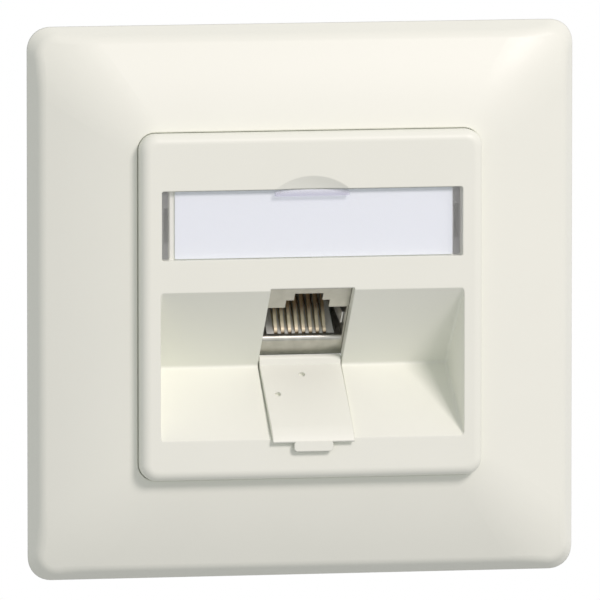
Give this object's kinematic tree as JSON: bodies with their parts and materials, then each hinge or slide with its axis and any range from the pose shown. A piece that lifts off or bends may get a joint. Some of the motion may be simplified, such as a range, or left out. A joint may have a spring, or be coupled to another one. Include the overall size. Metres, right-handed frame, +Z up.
{
  "type": "ethernet wall socket",
  "caption": "Square flush wall outlet for a data plug: crowned cover frame, centre plate with label window, and an angled jack in a V recess behind a hinged dust flap.",
  "frame": {"origin": "centre of the box-screw pattern on the back face of the support ring, in the wall plane", "axes": "+X to the right seen from the room, +Y into the wall, +Z up"},
  "size_m": [0.08, 0.036, 0.08],
  "materials": {
    "ivory_plastic": "satin",
    "clear_plastic": "clear",
    "label_paper": "matt",
    "zinc_steel": "zinc plated",
    "nickel_casting": "dull nickel",
    "insert_plastic": "matt",
    "grey_plastic": "matt",
    "board_green": "lacquered",
    "gilt_contact": "gilt"
  },
  "bodies": {
    "socket": {"cover_frame": "ivory_plastic", "centre_plate": "ivory_plastic", "label_window": "clear_plastic", "label_card": "label_paper", "plate_screws": "zinc_steel", "support_ring": "zinc_steel", "module_carrier": "grey_plastic", "carrier_rivets": "zinc_steel", "jack_shell": "nickel_casting", "jack_insert": "insert_plastic", "jack_board": "board_green", "terminal_block": "insert_plastic", "wire_cap": "insert_plastic", "rear_shield": "nickel_casting", "shield_spring_left": "zinc_steel", "shield_spring_right": "zinc_steel", "contact_1": "gilt_contact", "contact_2": "gilt_contact", "contact_3": "gilt_contact", "contact_4": "gilt_contact", "contact_5": "gilt_contact", "contact_6": "gilt_contact", "contact_7": "gilt_contact", "contact_8": "gilt_contact", "terminal_blade_1": "gilt_contact", "terminal_blade_2": "gilt_contact", "terminal_blade_3": "gilt_contact", "terminal_blade_4": "gilt_contact", "terminal_blade_5": "gilt_contact", "terminal_blade_6": "gilt_contact", "terminal_blade_7": "gilt_contact", "terminal_blade_8": "gilt_contact"},
    "flap": {"dust_flap": "ivory_plastic"}
  },
  "joints": [
    {"name": "flap_hinge", "type": "hinge", "parent": "socket", "child": "flap", "pos_m": [0, 0.0009, -0.00877], "axis": [-1, 0, 0], "range_deg": [0, 89.8]}
  ]
}
